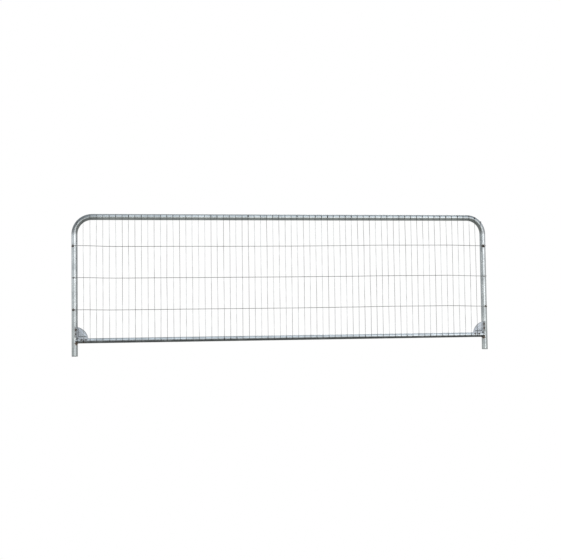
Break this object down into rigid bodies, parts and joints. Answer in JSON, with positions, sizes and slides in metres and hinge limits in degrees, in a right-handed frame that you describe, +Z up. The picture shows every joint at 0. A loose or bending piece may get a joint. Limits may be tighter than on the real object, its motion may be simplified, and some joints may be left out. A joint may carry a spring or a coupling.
{
  "type": "crowd control barrier",
  "caption": "Low round-top barrier panel: one bent steel tube, a coped bottom rail, pressed corner gussets and a welded wire mesh on the front.",
  "frame": {"origin": "midway between the two post axes, at the height of the open post ends that the panel stands on", "axes": "+X along the panel to the right as seen from the mesh side, -Y out of the mesh side, +Z up the posts"},
  "size_m": [3.4498, 0.0548, 1.14],
  "materials": {
    "galvanised_tube": "hot-dip galvanised, weathered, dull blue-grey",
    "galvanised_sheet": "hot-dip galvanised pressed sheet, weathered",
    "galvanised_wire": "hot-dip galvanised drawn wire, weathered",
    "weld_metal": "weld bead, dark, with rust breaking through"
  },
  "bodies": {
    "root": {"frame_hoop": "galvanised_tube", "bottom_rail": "galvanised_tube", "left_gusset": "galvanised_sheet", "right_gusset": "galvanised_sheet", "upper_line_wire": "galvanised_wire", "middle_line_wire": "galvanised_wire", "lower_line_wire": "galvanised_wire", "left_edge_upright": "galvanised_wire", "right_edge_upright": "galvanised_wire", "left_bend_uprights": "galvanised_wire", "right_bend_uprights": "galvanised_wire", "upright_bay_01": "galvanised_wire", "upright_bay_02": "galvanised_wire", "upright_bay_03": "galvanised_wire", "upright_bay_04": "galvanised_wire", "upright_bay_05": "galvanised_wire", "upright_bay_06": "galvanised_wire", "upright_bay_07": "galvanised_wire", "upright_bay_08": "galvanised_wire", "upright_bay_09": "galvanised_wire", "upright_bay_10": "galvanised_wire", "upright_bay_11": "galvanised_wire", "upright_bay_12": "galvanised_wire", "left_rail_weld": "weld_metal", "right_rail_weld": "weld_metal", "left_gusset_welds": "weld_metal", "right_gusset_welds": "weld_metal", "left_post_wire_welds": "weld_metal", "right_post_wire_welds": "weld_metal"}
  },
  "joints": []
}
